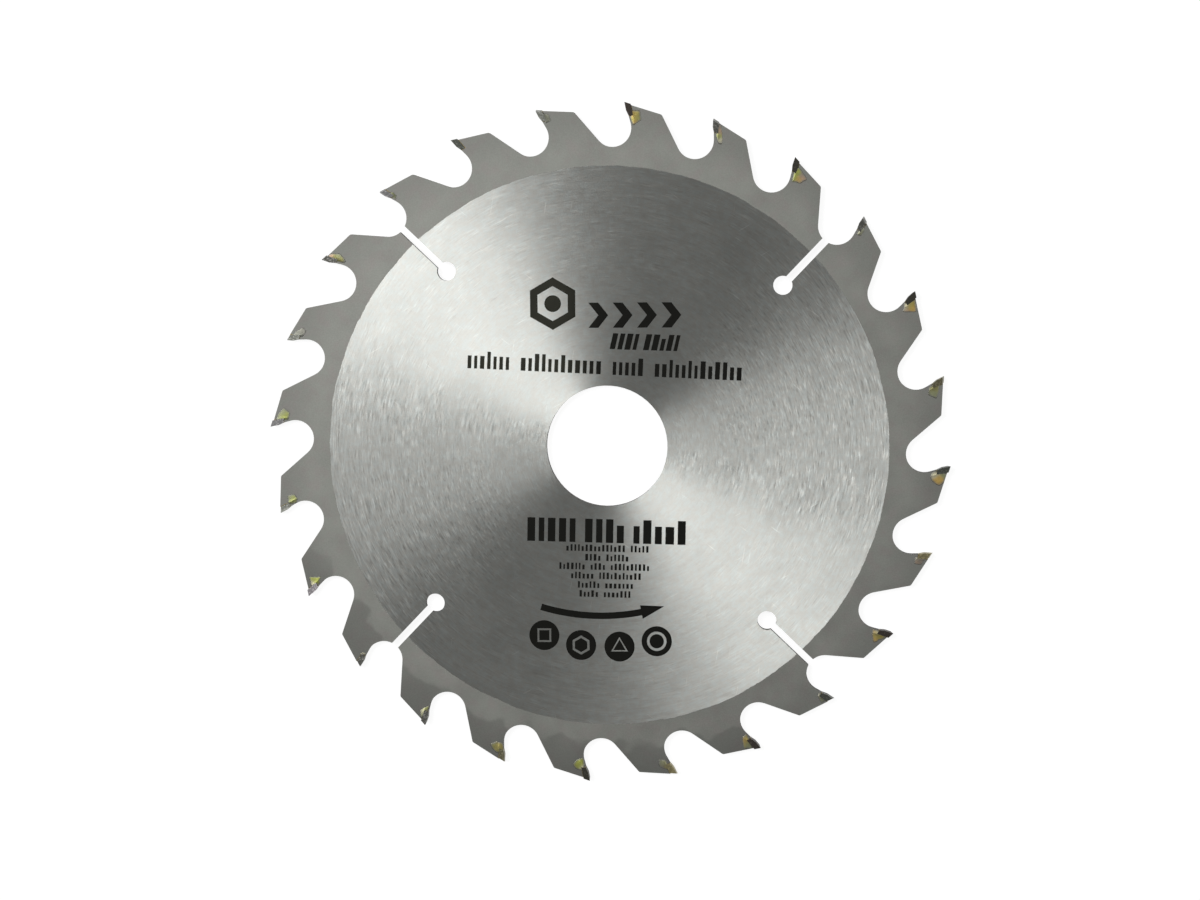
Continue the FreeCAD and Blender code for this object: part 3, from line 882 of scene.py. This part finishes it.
# Flat ring between two outlines with the same number of points
def band(outer, inner):
    count = len(outer)
    here = np.arange(count)
    ahead = np.roll(here, -1)
    low = 2 * count
    faces = np.vstack([
        np.stack([here, ahead, ahead + count, here + count], -1),
        np.stack([here + low, here + count + low, ahead + count + low, ahead + low], -1),
        np.stack([here + low, ahead + low, ahead, here], -1),
        np.stack([here + count, ahead + count, ahead + count + low, here + count + low], -1),
    ])
    return slab(np.vstack([outer, inner])), faces.tolist()


# Regular polygon's outline as its reach at each angle, so that polygons and circles share their points:
# radius cos(half a wedge) / cos(angle from the side's middle). With no corners it is a circle
def polygon(centre, radius, corners, turn=0.0, points=72):
    angle = np.linspace(0, 2 * math.pi, points, endpoint=False)
    reach = np.full(points, float(radius))
    if corners:
        wedge = 2 * math.pi / corners
        within = (angle - math.radians(turn)) % wedge - wedge / 2
        reach = radius * math.cos(wedge / 2) / np.cos(within)
    return np.column_stack([centre[0] + reach * np.cos(angle), centre[1] + reach * np.sin(angle)])


# Slanted bar: four corners from its left and right on the line, its height and how far its top leans
def bar(left, width, height, lean):
    return np.array([(left, 0), (left + width, 0), (left + width + lean, height), (left + lean, height)])


tick = {"narrowest": 0.75, "widest": 1.25, "short": 0.74}


# Row of bars in groups along a sloping line, like the ticks of a scale. Their widths are drawn at random
# and fitted to the line, and the share in tall is full height
def tickRow(start, end, groups, height, tall, gap, groupGap, lean=0.0):
    start, end = np.array(start), np.array(end)
    length = np.linalg.norm(end - start)
    slope = math.degrees(math.atan2(end[1] - start[1], end[0] - start[0]))
    widths = random.uniform(tick["narrowest"], tick["widest"], sum(groups))
    full = random.random(sum(groups)) < tall
    breaks = np.zeros(sum(groups))
    breaks[np.cumsum(groups)[:-1]] = groupGap
    room = length - gap * (sum(groups) - 1) - breaks.sum()
    widths *= room / widths.sum()
    lefts = np.cumsum(np.concatenate([[0], widths[:-1] + gap])) + np.cumsum(breaks)
    heights = np.where(full, height, height * tick["short"])
    return [
        turned(bar(left, width, rise, lean * rise), slope) + start
        for left, width, rise in zip(lefts, widths, heights)
    ]


def printPiece(name, solids):
    vertices, faces = [], []
    start = 0
    for points, sides in solids:
        vertices.append(points)
        faces += [[corner + start for corner in side] for side in sides]
        start += len(points)
    newPiece(name, np.vstack(vertices) * millimetre, faces, inkMaterial)


inkMaterial = inkFinish()

# Emblem: a hexagon round a dot, beside four chevrons
emblem = {"centre": (-14.0, 37.6), "outer": 6.9, "inner": 4.6, "dot": 2.2, "corners": 6, "turn": 30}
chevrons = {"left": -4.6, "low": 31.2, "pitch": 6.4, "count": 4, "width": 2.6, "height": 6.6, "reach": 2.6}


def emblemSolids():
    centre, corners, turn = emblem["centre"], emblem["corners"], emblem["turn"]
    outer = polygon(centre, emblem["outer"], corners, turn)
    inner = polygon(centre, emblem["inner"], corners, turn)
    return [band(outer, inner), prism(polygon(centre, emblem["dot"], 0))]


# Chevron: six corners, whose point and notch reach to the right at half height
def chevronSolid(number):
    left = chevrons["left"] + number * chevrons["pitch"]
    right, reach = left + chevrons["width"], chevrons["reach"]
    low, high = chevrons["low"], chevrons["low"] + chevrons["height"]
    middle = chevrons["low"] + chevrons["height"] / 2
    outline = [(left, low), (right, low), (right + reach, middle)]
    outline += [(right, high), (left, high), (left + reach, middle)]
    return prism(np.array(outline))


printPiece("print_emblem", emblemSolids() + [chevronSolid(number) for number in range(chevrons["count"])])

# Rows of bars: where the line starts and ends, and how many bars are in each group
tickRows = {
    "print_code": [
        {"start": (0.9, 25.6), "end": (18.6, 25.0), "groups": [4, 5],
         "height": 4.2, "tall": 0.8, "gap": 0.6, "groupGap": 1.2, "lean": 0.2},
    ],
    "print_heading": [
        {"start": (-36.8, 20.7), "end": (35.4, 17.2), "groups": [7, 12, 5, 13],
         "height": 4.6, "tall": 0.3, "gap": 0.75, "groupGap": 2.4},
    ],
    "print_scale": [
        {"start": (-21.4, -25.2), "end": (20.6, -26.2), "groups": [5, 4, 5],
         "height": 6.3, "tall": 0.8, "gap": 0.95, "groupGap": 1.6},
    ],
    "print_rows": [
        {"start": start, "end": end, "groups": groups,
         "height": 1.75, "tall": 0.5, "gap": 0.5, "groupGap": 1.1}
        for start, end, groups in (
            ((-11.0, -27.8), (10.8, -28.3), [15, 5]),
            ((-6.0, -30.4), (5.4, -30.7), [4, 6]),
            ((-12.9, -32.7), (10.9, -33.2), [7, 4, 10]),
            ((-9.8, -35.2), (8.7, -35.6), [6, 11]),
            ((-8.0, -37.7), (6.6, -38.0), [6, 7]),
            ((-7.6, -40.1), (5.9, -40.4), [5, 7]),
        )
    ],
}
for name, rows in tickRows.items():
    printPiece(name, [prism(outline) for row in rows for outline in tickRow(**row)])

# Arrow that shows which way the blade turns, with its angles in degrees round its own centre
arrow = {
    "centre": (-2.0, 10.0), "radius": 55.25, "width": 1.75,
    "from": 253.3, "neck": 281.3, "point": 287.8, "barb": 1.85, "steps": 25,
}


# Arrow: arcs at the radius plus and minus half the width, from its start to the neck, then a head of two
# barbs on the neck's ray and a point on the arrow's radius
def arrowOutline():
    sweep = np.radians(np.linspace(arrow["from"], arrow["neck"], arrow["steps"]))
    ray = np.column_stack([np.cos(sweep), np.sin(sweep)])
    outer = ray * (arrow["radius"] + arrow["width"] / 2)
    inner = ray * (arrow["radius"] - arrow["width"] / 2)
    point = math.radians(arrow["point"])
    head = np.array([
        ray[-1] * (arrow["radius"] + arrow["barb"]),
        np.array([math.cos(point), math.sin(point)]) * arrow["radius"],
        ray[-1] * (arrow["radius"] - arrow["barb"]),
    ])
    return np.vstack([outer, head, inner[::-1]]) + arrow["centre"]


printPiece("print_arrow", [prism(arrowOutline())])

# Four round fields, each with a bare outline of a plain shape: its centre, corners and turn
fields = {
    "radius": 4.02,
    "hole": 2.6,
    "island": 1.9,
    "shapes": [
        ((-17.1, -50.55), 4, 45), ((-7.3, -53.15), 6, 30),
        ((2.95, -53.5), 3, 90), ((12.86, -52.0), 0, 0),
    ],
}


def fieldSolids():
    solids = []
    for centre, corners, turn in fields["shapes"]:
        hole = polygon(centre, fields["hole"], corners, turn)
        solids.append(band(polygon(centre, fields["radius"], 0), hole))
        solids.append(prism(polygon(centre, fields["island"], corners, turn)))
    return solids


printPiece("print_fields", fieldSolids())
print("print laid")
